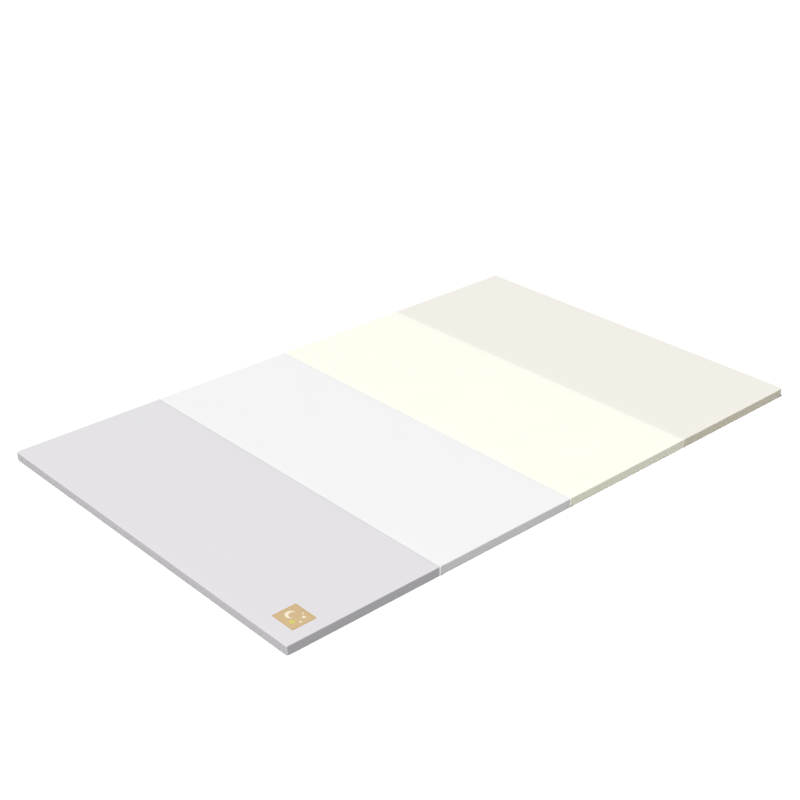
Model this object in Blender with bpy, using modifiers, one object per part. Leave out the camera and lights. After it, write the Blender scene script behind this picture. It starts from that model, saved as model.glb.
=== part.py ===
"""Folding baby play mat, lying flat: four filled panels, a fold strip in each seam and a patch.

Metres, +Z up. The origin is the middle of the mat's outline, on the floor. +X runs along the
mat, from the lavender panel to the beige one, and the patch is at its -X, -Y corner.
"""
import math

import bmesh
import bpy

# The mat laid out flat
MAT_LENGTH = 2.200
MAT_WIDTH = 1.400
THICKNESS = 0.030
PANEL_GAP = 0.0016

# The filled form of a panel
EDGE_RADIUS = 0.0020
EDGE_STEPS = 4
CROWN = 0.0008
CROWN_REACH = 0.040
SIDE_DRAW = 0.0008
CORNER_REACH = 0.040
GRID_STEPS = 4
SIDE_STEPS = 4

# The fold strips
CLEARANCE = 0.0003
STRIP_END_RECESS = 0.0030
STRIP_HEAD_DROP = 0.0003
STRIP_FOOT = 0.0010
STRIP_ARC_STEPS = 5

# The patch, placed from the -X, -Y corner of the mat
PATCH_LENGTH = 0.083
PATCH_WIDTH = 0.090
PATCH_THICKNESS = 0.0010
PATCH_FROM_END = 0.056
PATCH_FROM_SIDE = 0.045
PATCH_CORNER_RADIUS = 0.0015
PATCH_EDGE_RADIUS = 0.0003

# Panels from -X to +X: name, colour (linear RGB)
PANELS = (
    ("lavender", (0.687, 0.674, 0.694)),
    ("white", (0.800, 0.800, 0.800)),
    ("ivory", (0.870, 0.870, 0.780)),
    ("beige", (0.778, 0.757, 0.694)),
)
# Fold strips from -X to +X: name of the panel whose colour it has, side that it joins
FOLDS = (
    ("white", "top"),
    ("ivory", "bottom"),
    ("beige", "top"),
)
PATCH_COLOUR = (0.650, 0.480, 0.260)
COVER_ROUGHNESS = 0.55

PITCH = MAT_LENGTH / len(PANELS)
RIM_HEIGHT = THICKNESS - CROWN


def clear_scene():
    for obj in list(bpy.data.objects):
        bpy.data.objects.remove(obj, do_unlink=True)


def make_collection(name):
    collection = bpy.data.collections.new(name)
    bpy.context.scene.collection.children.link(collection)
    return collection


def make_material(name, colour, roughness):
    material = bpy.data.materials.new(name)
    material.use_nodes = True
    shader = material.node_tree.nodes["Principled BSDF"]
    shader.inputs["Base Color"].default_value = (*colour, 1.0)
    shader.inputs["Roughness"].default_value = roughness
    shader.inputs["Metallic"].default_value = 0.0
    return material


def add_object(name, mesh, material, collection):
    obj = bpy.data.objects.new(name, mesh)
    obj.data.materials.append(material)
    collection.objects.link(obj)
    return obj


def add_bevel(obj, width, steps):
    bevel = obj.modifiers.new("Rounded edges", "BEVEL")
    bevel.width = width
    bevel.segments = steps
    bevel.limit_method = "ANGLE"
    bevel.angle_limit = math.radians(30)
    return bevel


def grid_lines(low, high, reach, steps):
    """Cuts between low and high, closer together towards each end."""
    offsets = [reach * (step / steps) ** 1.5 for step in range(1, steps + 1)]
    return [low + offset for offset in offsets] + [high - offset for offset in reversed(offsets)]


def fill_out(point, half_length, half_width, outer_ends):
    """Move a point of the plain box to where the filling presses the cover."""
    from_end = half_length - abs(point.x)
    from_side = half_width - abs(point.y)
    height = abs(2 * point.z / THICKNESS - 1)

    def filled(distance, reach):
        return 1 - (1 - min(distance / reach, 1)) ** 2

    def draw_in(from_corner):
        return SIDE_DRAW * (1 - filled(from_corner, CORNER_REACH) * (1 - height ** 2))

    if point.z > THICKNESS - 1e-6:
        point.z -= CROWN * (1 - filled(from_end, CROWN_REACH) * filled(from_side, CROWN_REACH))

    if from_side < 1e-6:
        point.y -= math.copysign(draw_in(from_end), point.y)
    if from_end < 1e-6 and math.copysign(1, point.x) in outer_ends:
        point.x -= math.copysign(draw_in(from_side), point.x)


def make_panel_mesh(name, outer_ends):
    """A box with a crowned top, drawn-in rims and flat faces at the seams.

    outer_ends holds -1 or 1 where that end of the panel, along X, is an end of the mat.
    """
    half_length = PITCH / 2
    half_width = MAT_WIDTH / 2
    seam_inset = PANEL_GAP / 2
    bm = bmesh.new()
    bmesh.ops.create_cube(bm, size=1.0)
    for vert in bm.verts:
        vert.co.x *= PITCH
        vert.co.y *= MAT_WIDTH
        vert.co.z = (vert.co.z + 0.5) * THICKNESS

    cuts = [((x, 0, 0), (1, 0, 0))
            for x in grid_lines(-half_length, half_length, CROWN_REACH, GRID_STEPS)]
    cuts += [((0, y, 0), (0, 1, 0))
             for y in grid_lines(-half_width, half_width, CROWN_REACH, GRID_STEPS)]
    cuts += [((0, 0, THICKNESS * step / SIDE_STEPS), (0, 0, 1)) for step in range(1, SIDE_STEPS)]
    for plane_point, plane_normal in cuts:
        geometry = bm.verts[:] + bm.edges[:] + bm.faces[:]
        bmesh.ops.bisect_plane(bm, geom=geometry, plane_co=plane_point, plane_no=plane_normal)
    underside = [face for face in bm.faces if all(vert.co.z < 1e-6 for vert in face.verts)]
    bmesh.ops.dissolve_faces(bm, faces=underside)

    for vert in bm.verts:
        fill_out(vert.co, half_length, half_width, outer_ends)
        for end in (-1, 1):
            at_seam = end not in outer_ends and vert.co.x * end > half_length - 1e-6
            if at_seam:
                vert.co.x -= end * seam_inset

    mesh = bpy.data.meshes.new(name)
    bm.to_mesh(mesh)
    bm.free()
    return mesh


def make_panels(collection):
    for index, (name, colour) in enumerate(PANELS):
        outer_ends = set()
        if index == 0:
            outer_ends.add(-1)
        if index == len(PANELS) - 1:
            outer_ends.add(1)
        node = "panel_" + name
        material = make_material("cover_" + name, colour, COVER_ROUGHNESS)
        panel = add_object(node, make_panel_mesh(node, outer_ends), material, collection)
        panel.location.x = -MAT_LENGTH / 2 + PITCH * (index + 0.5)
        add_bevel(panel, EDGE_RADIUS, EDGE_STEPS)
        panel.data.shade_smooth()


def strip_half_profile():
    """Right half of a strip that joins the panels at the top: (x, z) from its foot up.

    It stands in the gap, and its head spreads between the panels' rounded rims.
    """
    arc_centre_x = PANEL_GAP / 2 + EDGE_RADIUS
    arc_centre_z = RIM_HEIGHT - EDGE_RADIUS
    arc_radius = EDGE_RADIUS + CLEARANCE
    top = RIM_HEIGHT - STRIP_HEAD_DROP
    top_angle = math.asin((top - arc_centre_z) / arc_radius)
    profile = [(PANEL_GAP / 2 - CLEARANCE, STRIP_FOOT)]
    for step in range(STRIP_ARC_STEPS + 1):
        angle = top_angle * step / STRIP_ARC_STEPS
        profile.append((arc_centre_x - arc_radius * math.cos(angle),
                        arc_centre_z + arc_radius * math.sin(angle)))
    return profile


def make_strip_curve(name, side):
    """The strip's outline as a 2D curve, as deep as the strip is long."""
    right = strip_half_profile()
    if side == "bottom":
        right = [(x, RIM_HEIGHT - z) for x, z in reversed(right)]
    outline = right + [(-x, z) for x, z in reversed(right)]
    curve = bpy.data.curves.new(name, "CURVE")
    curve.dimensions = "2D"
    curve.fill_mode = "BOTH"
    curve.extrude = MAT_WIDTH / 2 - SIDE_DRAW - STRIP_END_RECESS
    spline = curve.splines.new("POLY")
    spline.points.add(len(outline) - 1)
    for point, (x, z) in zip(spline.points, outline):
        point.co = (x, z, 0, 1)
    spline.use_cyclic_u = True
    return curve


def make_strips(collection):
    for seam, (name, side) in enumerate(FOLDS, start=1):
        node = "fold_strip_" + name
        material = bpy.data.materials["cover_" + name]
        strip = add_object(node, make_strip_curve(node, side), material, collection)
        strip.rotation_euler.x = math.radians(90)
        strip.location.x = -MAT_LENGTH / 2 + PITCH * seam


def make_patch(collection):
    bm = bmesh.new()
    bmesh.ops.create_cube(bm, size=1.0)
    bmesh.ops.scale(bm, vec=(PATCH_LENGTH, PATCH_WIDTH, PATCH_THICKNESS), verts=bm.verts)
    upright = [edge for edge in bm.edges if abs(edge.verts[0].co.z - edge.verts[1].co.z) > 1e-6]
    bmesh.ops.bevel(bm, geom=upright, offset=PATCH_CORNER_RADIUS, segments=EDGE_STEPS,
                    profile=0.5, affect="EDGES")
    mesh = bpy.data.meshes.new("patch")
    bm.to_mesh(mesh)
    bm.free()
    material = make_material("patch_tan", PATCH_COLOUR, COVER_ROUGHNESS)
    patch = add_object("patch", mesh, material, collection)
    patch.location = (-MAT_LENGTH / 2 + PATCH_FROM_END + PATCH_LENGTH / 2,
                      -MAT_WIDTH / 2 + PATCH_FROM_SIDE + PATCH_WIDTH / 2,
                      THICKNESS + CLEARANCE + PATCH_THICKNESS / 2)
    add_bevel(patch, PATCH_EDGE_RADIUS, 2)


def main():
    clear_scene()
    collection = make_collection("folding_play_mat")
    make_panels(collection)
    make_strips(collection)
    make_patch(collection)


main()
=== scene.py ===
"""Looks of the folding play mat: soft covers, fold strips and patch, on a pale floor in soft light.

Metres, in the frame's own axes: +X along the mat, +Y away from the long side in front, +Z up.
"""
import math
from collections import namedtuple

import bmesh
import bpy
from mathutils import Matrix, Vector, noise


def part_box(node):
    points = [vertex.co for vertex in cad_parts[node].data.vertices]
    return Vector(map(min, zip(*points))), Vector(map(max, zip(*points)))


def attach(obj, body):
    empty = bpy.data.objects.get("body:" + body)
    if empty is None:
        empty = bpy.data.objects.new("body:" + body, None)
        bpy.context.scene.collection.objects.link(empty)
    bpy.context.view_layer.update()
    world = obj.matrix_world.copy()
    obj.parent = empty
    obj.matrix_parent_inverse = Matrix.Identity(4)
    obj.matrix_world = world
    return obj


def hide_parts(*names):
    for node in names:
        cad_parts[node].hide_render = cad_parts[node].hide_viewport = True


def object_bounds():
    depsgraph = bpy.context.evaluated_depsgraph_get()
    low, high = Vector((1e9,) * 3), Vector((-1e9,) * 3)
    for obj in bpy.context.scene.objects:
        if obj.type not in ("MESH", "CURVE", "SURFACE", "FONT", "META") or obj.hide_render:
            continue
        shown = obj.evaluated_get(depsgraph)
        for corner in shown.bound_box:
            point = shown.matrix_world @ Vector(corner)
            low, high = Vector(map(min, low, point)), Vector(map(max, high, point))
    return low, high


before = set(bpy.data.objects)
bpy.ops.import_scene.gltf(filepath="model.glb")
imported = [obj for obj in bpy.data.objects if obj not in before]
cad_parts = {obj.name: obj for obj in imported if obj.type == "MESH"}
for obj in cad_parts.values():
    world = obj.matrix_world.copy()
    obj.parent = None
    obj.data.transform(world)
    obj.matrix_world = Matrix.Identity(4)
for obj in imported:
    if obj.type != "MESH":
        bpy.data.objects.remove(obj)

cad_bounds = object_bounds()

# Panels from -X to +X. The colour of the cover round the sides (the band) holds painted shading:
# it is set darker than the top for lavender, white and beige, and lighter for ivory, so that the sides
# come out as bright as wanted under the light. flats says how far the corners at the ends of the
# front, right, back and left sides are flattened along either side, and is None for a corner at a seam.
Panel = namedtuple("Panel", "name top band flats")
PANELS = (
    Panel("lavender", (0.676, 0.662, 0.684), (0.553, 0.538, 0.559), (None, None, 0.0046, 0.0015)),
    Panel("white", (0.793, 0.793, 0.793), (0.763, 0.763, 0.763), (None, None, None, None)),
    Panel("ivory", (0.868, 0.867, 0.774), (0.912, 0.902, 0.750), (None, None, None, None)),
    Panel("beige", (0.776, 0.755, 0.691), (0.731, 0.692, 0.560), (0.0046, 0, None, None)),
)
# Fold strips from -X to +X, with the side of the mat that each one joins. lap is how far over it,
# from its middle, the allowance of the -X cover reaches. The colour of the rolled ends (the nose)
# is a lightened shade of the +X panel's leather, painted light that makes them show as bright upright
# lines; half_width and proud are their size and lean how far along X their tips have rolled.
Fold = namedtuple("Fold", "name side lap nose half_width proud lean")
FOLDS = (
    Fold("white", "top", 0.0030, (0.970, 0.970, 0.965), 0.0022, 0.0026, 0.0024),
    Fold("ivory", "bottom", 0.0030, (0.970, 0.965, 0.870), 0.0030, 0.0024, -0.0016),
    Fold("beige", "top", 0.0, (0.885, 0.863, 0.750), 0.0029, 0.0022, -0.0020),
)

# Sides of an outline, anticlockwise from the one at -Y
FRONT, RIGHT, BACK, LEFT = range(4)

# The filled form of a panel, as in the solids
THICKNESS = 0.030
PITCH = (cad_bounds[1][0] - cad_bounds[0][0]) / len(PANELS)
MAT_WIDTH = cad_bounds[1][1] - cad_bounds[0][1]
EDGE_RADIUS = 0.0020
RIM_INSET = 0.0008
CROWN = 0.0008
CROWN_REACH = 0.040
CORNER_REACH = 0.040

# What the cover adds to it
FOOT_RADIUS = 0.0006
CONTOUR_ROUNDING = 0.6
STATION_SPACING = 0.008
CORNER_STATIONS = 4
ARC_ROWS = 6
SIDE_ROWS = 8
UNDERSIDE_INSETS = (0.030, 0.008)
CROWN_INSETS = (0.0045, 0.007, 0.011, 0.016, 0.022, 0.028, 0.034, 0.040)

# The sewn line under the rim, from its foot up, as shares of its width and depth
SEAM_WIDTH = 0.0011
SEAM_DEPTH = 0.0002
SEAM_PROFILE = ((1.0, 0.0), (0.75, 0.3), (0.5, 1.0), (0.25, 0.3))

# The puckers. The gives are shares of their depth, and each panel has a slice of noise of its own.
PUCKER_DEPTH = 0.00012
PUCKER_LENGTH = 0.045
PUCKER_SLICE = 7
RIM_GIVE = 0.3
CROWN_GIVE = 0.5

# The fold strips. Each has a web in the gap, a head over the rims and a rolled nose at each end.
STRIP_WEB = 0.00075
STRIP_FOOT = 0.0003
STRIP_TOUCH = 0.00005
STRIP_HEAD_DROP = 0.0002
STRIP_VALLEY = 0.00012
STRIP_WAVE = 0.00006
STRIP_FOOT_STEPS = 4
STRIP_WEB_SHARES = (0.03, 0.06, 0.1, 0.25, 0.5, 0.75, 0.9)
STRIP_ARC_STEPS = 8
STRIP_SPACING = 0.005
STRIP_HEAD_END = 0.004
LIP = 0.0001
NOSE_BLUNTNESS = 1.3
NOSE_SHARES = (0.996, 0.975, 0.93, 0.86, 0.75, 0.6, 0.45, 0.3, 0.18, 0.08)
COLUMN_ROUNDING = 0.0007
NECK_DEPTHS = (0.00015, 0.00035, 0.0007, 0.0012, 0.0020, 0.0030)

# The patch. Its border bulges on either side of the stitches, and its middle rises past them.
PATCH_EDGE_HEIGHT = 0.0004
PATCH_HEIGHT = 0.0008
PATCH_CORNER_RADIUS = 0.0020
PATCH_SPACING = 0.0015
PATCH_EDGE_STEPS = 4
PATCH_UNDERSIDE_INSET = 0.004
PATCH_BORDER = 0.0032
OUTER_BULGE_REACH = 0.0010
OUTER_BULGE = 0.00008
INNER_BULGE_REACH = 0.0012
INNER_BULGE = 0.00018
RISE_REACH = 0.004
RISE_SHARES = (0.3, 0.6, 1.0)
GROOVE_HALF_WIDTH = 0.0005
GROOVE_DEPTH = 0.0002
STITCH_INSET = 0.0022
STITCH_PITCH = 0.0036
STITCH_LENGTH = 0.0026
STITCH_RADIUS = 0.00026
STITCH_SEGMENTS = 8
STITCH_RINGS = 6
PRINT_HEIGHT = 0.0001
PATCH_COLOUR = (0.583, 0.431, 0.235)
PATCH_EDGE_COLOUR = (0.568, 0.392, 0.172)
STITCH_COLOUR = (0.520, 0.350, 0.150)
CREAM = (0.840, 0.745, 0.560)
YELLOW = (0.760, 0.690, 0.090)
GREEN = (0.330, 0.560, 0.130)

# The leather. COVER_DRIFT and PATCH_DRIFT are shares of its shade, and the scales are in cells to
# the metre.
SHARP_ANGLE = math.radians(40)
SPECULAR_LEVEL = 0.35
COVER_ROUGHNESS = 0.72
PATCH_ROUGHNESS = 0.6
INK_ROUGHNESS = 0.5
ROUGHNESS_DRIFT = 0.04
COVER_DRIFT = 0.008
PATCH_DRIFT = 0.03
DRIFT_SCALE = 5.0
DRIFT_DETAIL = 3
PEBBLE_SCALE = 850
PEBBLE_SMOOTHNESS = 0.35
SPECK_SCALE = 2400
SPECK_DETAIL = 2
SPECK_SHARE = 0.35
GRAIN_STRENGTH = 0.6
GRAIN_DEPTH = 0.00006

# Light, floor and camera
SUN_STRENGTH = 3.71
SUN_DIRECTION = (-0.30, 0.0, 1.04)
SUN_ANGLE = math.radians(14)
SKY_STRENGTH = 0.04
BACKDROP_STRENGTH = 1.05
FLOOR_SHADE = 0.865
FLOOR_DROP = 0.0001
FLOOR_REACH = 150
CAMERA_PLACE = (-2.95166, -3.18016, 2.33600)
CAMERA_RIGHT = (0.739969, -0.672639, -0.001729)
CAMERA_UP = (0.309247, 0.337917, 0.888920)
CAMERA_REACH = 400
LENS_MM = 65.972
SENSOR_MM = 36.0


def filled(distance, reach):
    """How far the filling has pressed the cover out at a distance from its edge, 0 to 1."""
    return 1 - (1 - min(distance / reach, 1)) ** 2


def crown_height(from_edge):
    """Height of the top at a distance from the edge of its panel."""
    return THICKNESS - CROWN * (1 - filled(from_edge, CROWN_REACH))


RIM_HEIGHT = crown_height(RIM_INSET + EDGE_RADIUS)


def node_of(material, kind, **settings):
    """A new node of the material, with its settings."""
    node = material.node_tree.nodes.new(kind)
    for key, value in settings.items():
        setattr(node, key, value)
    return node


def grain_height(material, coordinates):
    """Fine pebble grain of imitation leather: rounded cells with a little noise."""
    links = material.node_tree.links
    cells = node_of(material, "ShaderNodeTexVoronoi", feature="SMOOTH_F1")
    cells.inputs["Scale"].default_value = PEBBLE_SCALE
    cells.inputs["Smoothness"].default_value = PEBBLE_SMOOTHNESS
    specks = node_of(material, "ShaderNodeTexNoise")
    specks.inputs["Scale"].default_value = SPECK_SCALE
    specks.inputs["Detail"].default_value = SPECK_DETAIL
    both = node_of(material, "ShaderNodeMath", operation="MULTIPLY_ADD")
    both.inputs[1].default_value = SPECK_SHARE
    links.new(coordinates, cells.inputs["Vector"])
    links.new(coordinates, specks.inputs["Vector"])
    links.new(specks.outputs["Fac"], both.inputs[0])
    links.new(cells.outputs["Distance"], both.inputs[2])
    return both.outputs[0]


def leather_material(name, colour, roughness=COVER_ROUGHNESS, drift_share=COVER_DRIFT):
    """Matt imitation leather: fine grain, and very slight drifts of shade and gloss."""
    material = bpy.data.materials.new(name)
    material.use_nodes = True
    links = material.node_tree.links
    shader = material.node_tree.nodes["Principled BSDF"]
    shader.inputs["Specular IOR Level"].default_value = SPECULAR_LEVEL
    coordinates = node_of(material, "ShaderNodeTexCoord").outputs["Object"]

    drift = node_of(material, "ShaderNodeTexNoise")
    drift.inputs["Scale"].default_value = DRIFT_SCALE
    drift.inputs["Detail"].default_value = DRIFT_DETAIL
    links.new(coordinates, drift.inputs["Vector"])

    shade = node_of(material, "ShaderNodeMix", data_type="RGBA")
    for socket, share in (("A", 1 - drift_share), ("B", 1 + drift_share)):
        shade.inputs[socket].default_value = (*(min(share * c, 1) for c in colour), 1)
    links.new(drift.outputs["Fac"], shade.inputs["Factor"])
    links.new(shade.outputs["Result"], shader.inputs["Base Color"])

    gloss = node_of(material, "ShaderNodeMapRange")
    gloss.inputs["To Min"].default_value = roughness - ROUGHNESS_DRIFT
    gloss.inputs["To Max"].default_value = roughness + ROUGHNESS_DRIFT
    links.new(drift.outputs["Fac"], gloss.inputs["Value"])
    links.new(gloss.outputs["Result"], shader.inputs["Roughness"])

    bump = node_of(material, "ShaderNodeBump")
    bump.inputs["Strength"].default_value = GRAIN_STRENGTH
    bump.inputs["Distance"].default_value = GRAIN_DEPTH
    links.new(grain_height(material, coordinates), bump.inputs["Height"])
    links.new(bump.outputs["Normal"], shader.inputs["Normal"])
    return material


def add_piece(name, bm, materials):
    """A smooth-shaded piece of the mat, attached to the root body."""
    mesh = bpy.data.meshes.new(name)
    bm.to_mesh(mesh)
    bm.free()
    mesh.shade_smooth()
    mesh.set_sharp_from_angle(angle=SHARP_ANGLE)
    for material in materials:
        mesh.materials.append(material)
    piece = bpy.data.objects.new(name, mesh)
    bpy.context.scene.collection.objects.link(piece)
    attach(piece, "root")
    return piece


def join_rings(bm, rings, material_at):
    """Faces between closed rings of points, and a cap at each end.

    material_at(number, here) is the material's index after ring number, past its point here.
    """
    count = len(rings[0])
    for number, (lower, upper) in enumerate(zip(rings, rings[1:])):
        for here in range(count):
            after = (here + 1) % count
            face = bm.faces.new((lower[here], lower[after], upper[after], upper[here]))
            face.material_index = material_at(number, here)
    bm.faces.new(reversed(rings[0]))
    bm.faces.new(rings[-1])


Station = namedtuple("Station", "side along angle")


def outline_stations(length, width, spacing, corner_stations):
    """Stations anticlockwise round a rectangle, from the start of its front side.

    along is 0 to 1 on a side, and None in the corner at its end, where angle is the way out.
    """
    stations = []
    for side in (FRONT, RIGHT, BACK, LEFT):
        run = length if side in (FRONT, BACK) else width
        steps = round(run / spacing)
        stations += [Station(side, step / steps, None) for step in range(steps + 1)]
        for step in range(1, corner_stations + 1):
            angle = math.radians(90 * (step / (corner_stations + 1) - 1))
            stations.append(Station(side, None, angle))
    return stations


def outline_point(station, half_length, half_width, radius, flats=(0, 0, 0, 0)):
    """(place, outward direction, distance from the nearest corner) on a rounded rectangle.

    flats holds how far apart the two halves of the corner at the end of each side stand, along
    either side.
    """
    half_run, half_across = half_length, half_width
    if station.side in (RIGHT, LEFT):
        half_run, half_across = half_width, half_length
    flat = flats[station.side]
    if station.angle is None:
        start = radius + flats[station.side - 1] - half_run
        run = half_run - radius - flat - start
        place = Vector((start + run * station.along, -half_across))
        outward = Vector((0, -1))
        from_corner = run * min(station.along, 1 - station.along)
    else:
        outward = Vector((math.cos(station.angle), math.sin(station.angle)))
        apart = Vector((-flat, 0)) if station.angle < -math.pi / 4 else Vector((0, flat))
        place = Vector((half_run - radius, radius - half_across)) + apart + radius * outward
        from_corner = 0
    turn = Matrix.Rotation(math.radians(90 * station.side), 2)
    return turn @ place, turn @ outward, from_corner


def quarter_turn(steps):
    """Angles from 0 to 90 degrees, both included."""
    return [math.radians(90 * step / steps) for step in range(steps + 1)]


Row = namedtuple("Row", "inset z give on_band")


def cover_rows():
    """Rows of the cover from the underside, up the sides and over the top.

    inset is how far in from the rim a row lies, and give how freely it puckers.
    """
    rows = [Row(inset, 0, 0, False) for inset in UNDERSIDE_INSETS]
    for angle in quarter_turn(ARC_ROWS):
        inset = FOOT_RADIUS * (1 - math.sin(angle))
        rows.append(Row(inset, FOOT_RADIUS * (1 - math.cos(angle)), 0, angle > math.pi / 4))

    low = FOOT_RADIUS
    high = RIM_HEIGHT - EDGE_RADIUS
    for step in range(1, SIDE_ROWS):
        share = step / SIDE_ROWS
        rows.append(Row(0, low + (high - low) * share, math.sin(math.pi * share), True))
    rows += [Row(SEAM_DEPTH * deep, high - SEAM_WIDTH * down, RIM_GIVE, True)
             for down, deep in SEAM_PROFILE]

    for angle in reversed(quarter_turn(ARC_ROWS)):
        inset = EDGE_RADIUS * (1 - math.sin(angle))
        height = RIM_HEIGHT - EDGE_RADIUS * (1 - math.cos(angle))
        rows.append(Row(inset, height, RIM_GIVE, angle > math.pi / 4))
    for inset in CROWN_INSETS:
        give = CROWN_GIVE * max(0, 1 - inset / CROWN_REACH) ** 2
        rows.append(Row(inset, crown_height(RIM_INSET + inset), give, False))
    return rows


def cover_ring(index, row, stations):
    """Points of one row of a panel's cover. They swell and pucker on the sides without a seam."""
    centre = Vector((cad_bounds[0][0] + PITCH * (index + 0.5), 0))
    slice_of_noise = Vector((0, 0, PUCKER_SLICE * index))
    flats = [flat or 0 for flat in PANELS[index].flats]
    seam_sides = set()
    if index > 0:
        seam_sides.add(LEFT)
    if index < len(PANELS) - 1:
        seam_sides.add(RIGHT)

    height = abs(2 * row.z / THICKNESS - 1)
    radius = EDGE_RADIUS + CONTOUR_ROUNDING * row.inset
    inset = RIM_INSET + row.inset
    points = []
    for station in stations:
        place, outward, from_corner = outline_point(
            station, PITCH / 2 - inset, MAT_WIDTH / 2 - inset, radius, flats)
        swell = 0
        pucker = 0
        if station.side not in seam_sides:
            swell = RIM_INSET * filled(from_corner, CORNER_REACH)
            wave = noise.noise(Vector((*place, row.z)) / PUCKER_LENGTH + slice_of_noise)
            pucker = min(wave, 0) * PUCKER_DEPTH * row.give
        if row.on_band:
            place += outward * (swell * (1 - height ** 2) + pucker)
            points.append((*(centre + place), row.z))
        else:
            points.append((*(centre + place), row.z + pucker))
    return points


def make_cover(index, panel):
    """One panel's filled cover, replacing its solid.

    At a corner of the mat, the faces between the side bands take the top's colour, lighter than the
    sides' painted shading: a painted highlight that shows the corner as a light upright line.
    """
    stations = outline_stations(PITCH, MAT_WIDTH, STATION_SPACING, CORNER_STATIONS)
    rows = cover_rows()
    bm = bmesh.new()
    rings = [[bm.verts.new(point) for point in cover_ring(index, row, stations)] for row in rows]

    def at_painted_highlight_corner(here):
        """Whether the face past a station lies in a corner of the mat."""
        ends = (stations[here], stations[(here + 1) % len(stations)])
        return panel.flats[ends[0].side] is not None and any(end.angle is not None for end in ends)

    # Side faces take the side colour with its painted shading; corner faces take the top's, a painted
    # highlight.
    join_rings(bm, rings, lambda number, here: int(rows[number].on_band and not at_painted_highlight_corner(here)))

    slot = "cover_" + panel.name
    # The side colour holds painted shading, darker or lighter than the top.
    materials = (leather_material(slot + "_top", panel.top),
                 leather_material(slot + "_band", panel.band))
    cover = add_piece("padded_" + panel.name, bm, materials)
    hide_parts("panel_" + panel.name)
    return cover


def make_covers():
    return [make_cover(index, panel) for index, panel in enumerate(PANELS)]


def strip_half_section(side):
    """Right half of a strip's section from its foot to its head, as (x, z)."""
    arc_x = RIM_INSET + EDGE_RADIUS
    arc_z = RIM_HEIGHT - EDGE_RADIUS
    reach = EDGE_RADIUS + STRIP_TOUCH
    section = []
    for angle in quarter_turn(STRIP_FOOT_STEPS)[1:]:
        section.append((STRIP_WEB * math.sin(angle), STRIP_FOOT + STRIP_WEB * (1 - math.cos(angle))))
    web_low = section[-1][1]
    section += [(STRIP_WEB, web_low + (arc_z - web_low) * share) for share in STRIP_WEB_SHARES]
    top_angle = math.asin((EDGE_RADIUS - STRIP_HEAD_DROP - LIP) / reach)
    for step in range(STRIP_ARC_STEPS + 1):
        angle = top_angle * step / STRIP_ARC_STEPS
        section.append((arc_x - reach * math.cos(angle), arc_z + reach * math.sin(angle)))
    lip_x, lip_z = section[-1]
    section += [(lip_x, lip_z + LIP / 2), (lip_x - LIP / 2, lip_z + LIP), (lip_x / 2, lip_z + LIP)]
    if side == "bottom":
        section = [(x, RIM_HEIGHT - z) for x, z in section]
    return section


# The materials of a strip, in the order of its slots; the rolled ends' leather is lightened as painted
# light.
STRIP_LEATHER, NOSE_PAINTED_LIGHT_LEATHER, ALLOWANCE_LEATHER = range(3)

StripStation = namedtuple("StripStation", "depth spread middle girth")


def strip_end_stations(fold):
    """Stations from a strip's rolled end inwards. depth is behind the front of the side bands.

    spread is 1 where the strip has its whole section. It is 0 where the strip is a round-ended
    column, 2 * girth wide about middle.
    """
    stations = []
    for share in NOSE_SHARES:
        girth = fold.half_width * (1 - share ** NOSE_BLUNTNESS) ** (1 / NOSE_BLUNTNESS)
        stations.append(StripStation(-fold.proud * share, 0, fold.lean * (1 + share) / 2, girth))
    for depth in NECK_DEPTHS:
        across = math.sqrt(EDGE_RADIUS ** 2 - max(EDGE_RADIUS - depth, 0) ** 2)
        notch = RIM_INSET + EDGE_RADIUS - across
        spread = max(0, depth - EDGE_RADIUS / 2) / (STRIP_HEAD_END - EDGE_RADIUS / 2)
        stations.append(StripStation(depth, spread, 0, notch - STRIP_TOUCH))
    return stations


def column_width(z, low, high):
    """Share of the full width of a round-ended column at a height, 0 to 1."""
    beyond = max(low + COLUMN_ROUNDING - z, z - (high - COLUMN_ROUNDING), 0) / COLUMN_ROUNDING
    return math.sqrt(max(0, 1 - beyond ** 2))


def strip_stations(fold):
    """(y, station) along a whole strip."""
    front = MAT_WIDTH / 2 - RIM_INSET
    end = [(front - station.depth, station) for station in strip_end_stations(fold)]
    half_run = front - STRIP_HEAD_END
    steps = round(2 * half_run / STRIP_SPACING)
    whole = StripStation(STRIP_HEAD_END, 1, 0, 0)
    middle = [(half_run * (2 * step / steps - 1), whole) for step in range(steps + 1)]
    near = [(-y, station) for y, station in end]
    return near + middle + list(reversed(end))


def strip_ring(fold, seam_x, y, station):
    """Points of a strip at y: its foot, its right side up, its head and its left side down."""
    half = strip_half_section(fold.side)
    low = min(z for x, z in half) - STRIP_TOUCH
    high = max(z for x, z in half) + STRIP_TOUCH
    valley = STRIP_VALLEY + STRIP_WAVE * noise.noise(Vector((seam_x, y, 0)) / PUCKER_LENGTH)
    toward_middle = valley if fold.side == "top" else -valley
    spread = station.spread
    right = []
    left = []
    for x, z in half:
        width = station.girth * column_width(z, low, high)
        right.append((spread * x + (1 - spread) * (station.middle + width), z))
        left.append((-spread * x + (1 - spread) * (station.middle - width), z))
    foot = ((1 - spread) * station.middle, half[0][1])
    head = ((1 - spread) * station.middle, half[-1][1] - toward_middle * spread)
    return [(seam_x + x, y, z) for x, z in [foot] + right + [head] + left[::-1]]


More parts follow.
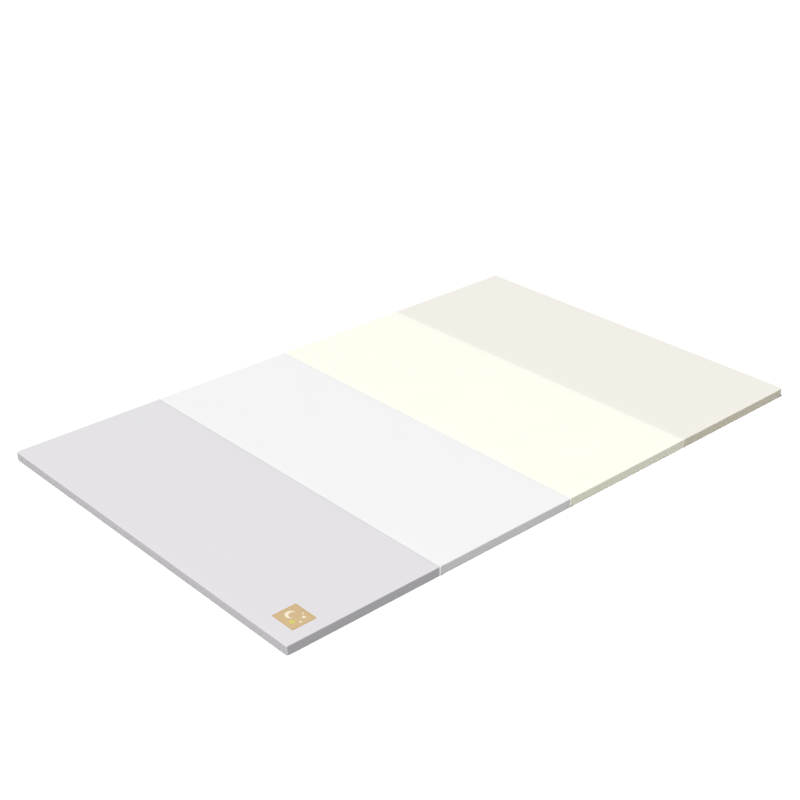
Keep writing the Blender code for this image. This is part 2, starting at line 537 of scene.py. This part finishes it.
def make_strip(seam, fold):
    """A fold strip, replacing its solid.

    The allowance of the -X cover laps over its head, and the rest is in the colour of the +X one, except
    the rolled ends, whose colour is lightened past it as painted light.
    """
    seam_x = cad_bounds[0][0] + PITCH * seam
    bm = bmesh.new()
    rings = []
    ring_materials = []
    for y, station in strip_stations(fold):
        rings.append([bm.verts.new(point) for point in strip_ring(fold, seam_x, y, station)])
        ring_materials.append(NOSE_PAINTED_LIGHT_LEATHER if station.depth < 0 else STRIP_LEATHER)
    join_rings(bm, rings, lambda number, here: ring_materials[number])
    bmesh.ops.recalc_face_normals(bm, faces=bm.faces)
    for face in bm.faces:
        on_allowance = face.calc_center_median().x < seam_x + fold.lap
        if on_allowance and face.material_index == STRIP_LEATHER:
            face.material_index = ALLOWANCE_LEATHER

    # The rolled ends' leather is lightened as painted light.
    materials = (leather_material("strip_" + fold.name, PANELS[seam].top),
                 leather_material("strip_nose_painted_light_" + fold.name, fold.nose),
                 leather_material("strip_allowance_" + fold.name, PANELS[seam - 1].top))
    strip = add_piece("strip_" + fold.name, bm, materials)
    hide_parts("fold_strip_" + fold.name)


def make_strips():
    for seam, fold in enumerate(FOLDS, start=1):
        make_strip(seam, fold)


def patch_rows(base):
    """(inset, height) of the patch from its underside, over its edge and stitched border."""
    edge = base + PATCH_EDGE_HEIGHT
    rounding = PATCH_EDGE_HEIGHT / 2
    rows = [(PATCH_UNDERSIDE_INSET, base), (rounding / 2, base)]
    rows += [(rounding * (1 - math.sin(angle)), edge - rounding * (1 - math.cos(angle)))
             for angle in reversed(quarter_turn(PATCH_EDGE_STEPS))]
    rise_start = STITCH_INSET + INNER_BULGE_REACH
    rise_foot = edge + INNER_BULGE
    rows += [(STITCH_INSET - OUTER_BULGE_REACH, edge + OUTER_BULGE),
             (STITCH_INSET - GROOVE_HALF_WIDTH, edge),
             (STITCH_INSET, edge - GROOVE_DEPTH),
             (STITCH_INSET + GROOVE_HALF_WIDTH, edge),
             (rise_start, rise_foot)]
    rise = base + PATCH_HEIGHT - rise_foot
    rows += [(rise_start + RISE_REACH * share, rise_foot + rise * filled(share, 1))
             for share in RISE_SHARES]
    return rows


def make_patch():
    """The sewn-on patch with its stitches and print, replacing its solid."""
    low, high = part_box("patch")
    middle = Vector(((low[0] + high[0]) / 2, (low[1] + high[1]) / 2))
    half_length = (high[0] - low[0]) / 2
    half_width = (high[1] - low[1]) / 2
    base = THICKNESS
    stations = outline_stations(2 * half_length, 2 * half_width, PATCH_SPACING, CORNER_STATIONS)
    rows = patch_rows(base)
    bm = bmesh.new()
    rings = []
    for inset, z in rows:
        ring = []
        for station in stations:
            place = outline_point(station, half_length - inset, half_width - inset,
                                  PATCH_CORNER_RADIUS)[0]
            ring.append(bm.verts.new((*(middle + place), z)))
        rings.append(ring)
    join_rings(bm, rings, lambda number, here: int(rows[number][0] < PATCH_BORDER))
    materials = (leather_material("patch_tan", PATCH_COLOUR, PATCH_ROUGHNESS, PATCH_DRIFT),
                 leather_material("patch_edge", PATCH_EDGE_COLOUR, PATCH_ROUGHNESS, PATCH_DRIFT))
    patch = add_piece("patch_leather", bm, materials)
    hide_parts("patch")
    stitches = make_stitches(middle, half_length, half_width, base + PATCH_EDGE_HEIGHT)
    print_pieces = make_print(middle, base + PATCH_HEIGHT)


def make_stitches(middle, half_length, half_width, height):
    """A row of separate stitches round the patch, joined in one mesh."""
    half_length -= STITCH_INSET
    half_width -= STITCH_INSET
    bm = bmesh.new()
    for side in (FRONT, RIGHT, BACK, LEFT):
        half_run, half_across = half_length, half_width
        if side in (RIGHT, LEFT):
            half_run, half_across = half_width, half_length
        count = round(2 * half_run / STITCH_PITCH)
        turn = Matrix.Rotation(math.radians(90 * side), 4, "Z")
        for number in range(count):
            run = half_run * (2 * (number + 0.5) / count - 1)
            place = turn @ Vector((run, -half_across, 0)) + Vector((*middle, height - STITCH_RADIUS / 2))
            shape = Matrix.Diagonal((STITCH_LENGTH / 2, STITCH_RADIUS, STITCH_RADIUS, 1))
            bmesh.ops.create_uvsphere(bm, u_segments=STITCH_SEGMENTS, v_segments=STITCH_RINGS,
                                      radius=1, matrix=Matrix.Translation(place) @ turn @ shape)
    return add_piece("patch_stitches", bm, [leather_material("stitch_thread", STITCH_COLOUR)])


def crescent_outline(radius, bite_radius, bite_shift, steps=28):
    """A crescent moon about the origin, open towards +X."""
    cross_x = (radius ** 2 - bite_radius ** 2 + bite_shift ** 2) / (2 * bite_shift)
    cross_y = math.sqrt(radius ** 2 - cross_x ** 2)
    start = math.atan2(cross_y, cross_x)
    outer = [start + (2 * math.pi - 2 * start) * step / steps for step in range(steps + 1)]
    bite = math.atan2(cross_y, cross_x - bite_shift)
    inner = [2 * math.pi - bite - (2 * math.pi - 2 * bite) * step / steps for step in range(1, steps)]
    points = [(radius * math.cos(angle), radius * math.sin(angle)) for angle in outer]
    points += [(bite_shift + bite_radius * math.cos(angle), bite_radius * math.sin(angle))
               for angle in inner]
    return points


def star_outline(radius, waist=0.5, points=5):
    """A star about the origin. waist is the share of its radius that its inner corners have."""
    corners = []
    for number in range(2 * points):
        reach = radius * (waist if number % 2 else 1)
        angle = math.pi * number / points
        corners.append((reach * math.cos(angle), reach * math.sin(angle)))
    return corners


# Motifs on the patch, read with +X up: places are from its middle, to the right and up, in metres,
# turn is in degrees, and lift is how many print heights a motif's face lies over the patch
Motif = namedtuple("Motif", "name outline colour right up turn lift")
MOTIFS = (
    Motif("moon", crescent_outline(0.0170, 0.0140, 0.0078), CREAM, -0.0130, -0.0010, 35, 1),
    Motif("star_large", star_outline(0.0080), CREAM, 0.0190, 0.0180, 12, 1),
    Motif("star_middle", star_outline(0.0056), CREAM, 0.0300, -0.0020, -20, 1),
    Motif("star_small", star_outline(0.0042), CREAM, 0.0040, 0.0270, 40, 1),
    Motif("star_yellow", star_outline(0.0095, 0.55), YELLOW, 0.0150, -0.0190, 30, 1),
    Motif("star_green", star_outline(0.0050, 0.55), GREEN, 0.0150, -0.0190, 30, 2),
)


def make_print(middle, top):
    """Flat raised motifs on the patch."""
    pieces = []
    for motif in MOTIFS:
        bm = bmesh.new()
        turn = Matrix.Rotation(math.radians(motif.turn), 2)
        low = []
        high = []
        for point in motif.outline:
            right, up = Vector((motif.right, motif.up)) + turn @ Vector(point)
            x, y = middle + Vector((up, -right))
            low.append(bm.verts.new((x, y, top - PRINT_HEIGHT)))
            high.append(bm.verts.new((x, y, top + PRINT_HEIGHT * motif.lift)))
        count = len(low)
        for here in range(count):
            after = (here + 1) % count
            bm.faces.new((low[here], low[after], high[after], high[here]))
        bm.faces.new(high)
        bm.faces.new(list(reversed(low)))
        bmesh.ops.recalc_face_normals(bm, faces=bm.faces)
        ink = leather_material("ink_" + motif.name, motif.colour, INK_ROUGHNESS)
        pieces.append(add_piece("print_" + motif.name, bm, [ink]))
        pieces[-1].data.shade_flat()
    return pieces


def make_floor():
    """A wide matt floor just under the mat."""
    bm = bmesh.new()
    bmesh.ops.create_grid(bm, x_segments=1, y_segments=1, size=FLOOR_REACH)
    mesh = bpy.data.meshes.new("floor")
    bm.to_mesh(mesh)
    bm.free()
    floor = bpy.data.objects.new("floor", mesh)
    floor.location.z = -FLOOR_DROP
    bpy.context.scene.collection.objects.link(floor)
    material = bpy.data.materials.new("floor")
    material.use_nodes = True
    shader = material.node_tree.nodes["Principled BSDF"]
    shader.inputs["Base Color"].default_value = (FLOOR_SHADE, FLOOR_SHADE, FLOOR_SHADE, 1)
    shader.inputs["Roughness"].default_value = 1.0
    shader.inputs["Specular IOR Level"].default_value = 0.0
    mesh.materials.append(material)


def make_light():
    """A broad overhead light, a little to the left, and a dim sky that shows white behind."""
    sun = bpy.data.lights.new("overhead", "SUN")
    sun.energy = SUN_STRENGTH
    sun.angle = SUN_ANGLE
    lamp = bpy.data.objects.new("overhead", sun)
    lamp.rotation_mode = "QUATERNION"
    lamp.rotation_quaternion = Vector(SUN_DIRECTION).to_track_quat("Z", "Y")
    bpy.context.scene.collection.objects.link(lamp)

    world = bpy.data.worlds.new("studio")
    bpy.context.scene.world = world
    world.use_nodes = True
    nodes = world.node_tree.nodes
    links = world.node_tree.links
    sky = nodes["Background"]
    sky.inputs["Color"].default_value = (1, 1, 1, 1)
    sky.inputs["Strength"].default_value = SKY_STRENGTH
    backdrop = nodes.new("ShaderNodeBackground")
    backdrop.inputs["Color"].default_value = (1, 1, 1, 1)
    backdrop.inputs["Strength"].default_value = BACKDROP_STRENGTH
    path = nodes.new("ShaderNodeLightPath")
    mix = nodes.new("ShaderNodeMixShader")
    links.new(path.outputs["Is Camera Ray"], mix.inputs["Fac"])
    links.new(sky.outputs[0], mix.inputs[1])
    links.new(backdrop.outputs[0], mix.inputs[2])
    links.new(mix.outputs[0], nodes["World Output"].inputs["Surface"])


def make_camera():
    """The photo's view, from above the mat's -X, -Y corner."""
    data = bpy.data.cameras.new("camera")
    data.lens = LENS_MM
    data.sensor_width = SENSOR_MM
    data.clip_end = CAMERA_REACH
    camera = bpy.data.objects.new("camera", data)
    right = Vector(CAMERA_RIGHT).normalized()
    up = Vector(CAMERA_UP).normalized()
    axes = Matrix((right, up, right.cross(up))).transposed()
    camera.matrix_world = Matrix.Translation(CAMERA_PLACE) @ axes.to_4x4()
    bpy.context.scene.collection.objects.link(camera)
    bpy.context.scene.camera = camera


make_camera()
make_light()
make_floor()
cover_pieces = make_covers()
make_strips()
make_patch()

bpy.context.scene.view_settings.view_transform = "Standard"
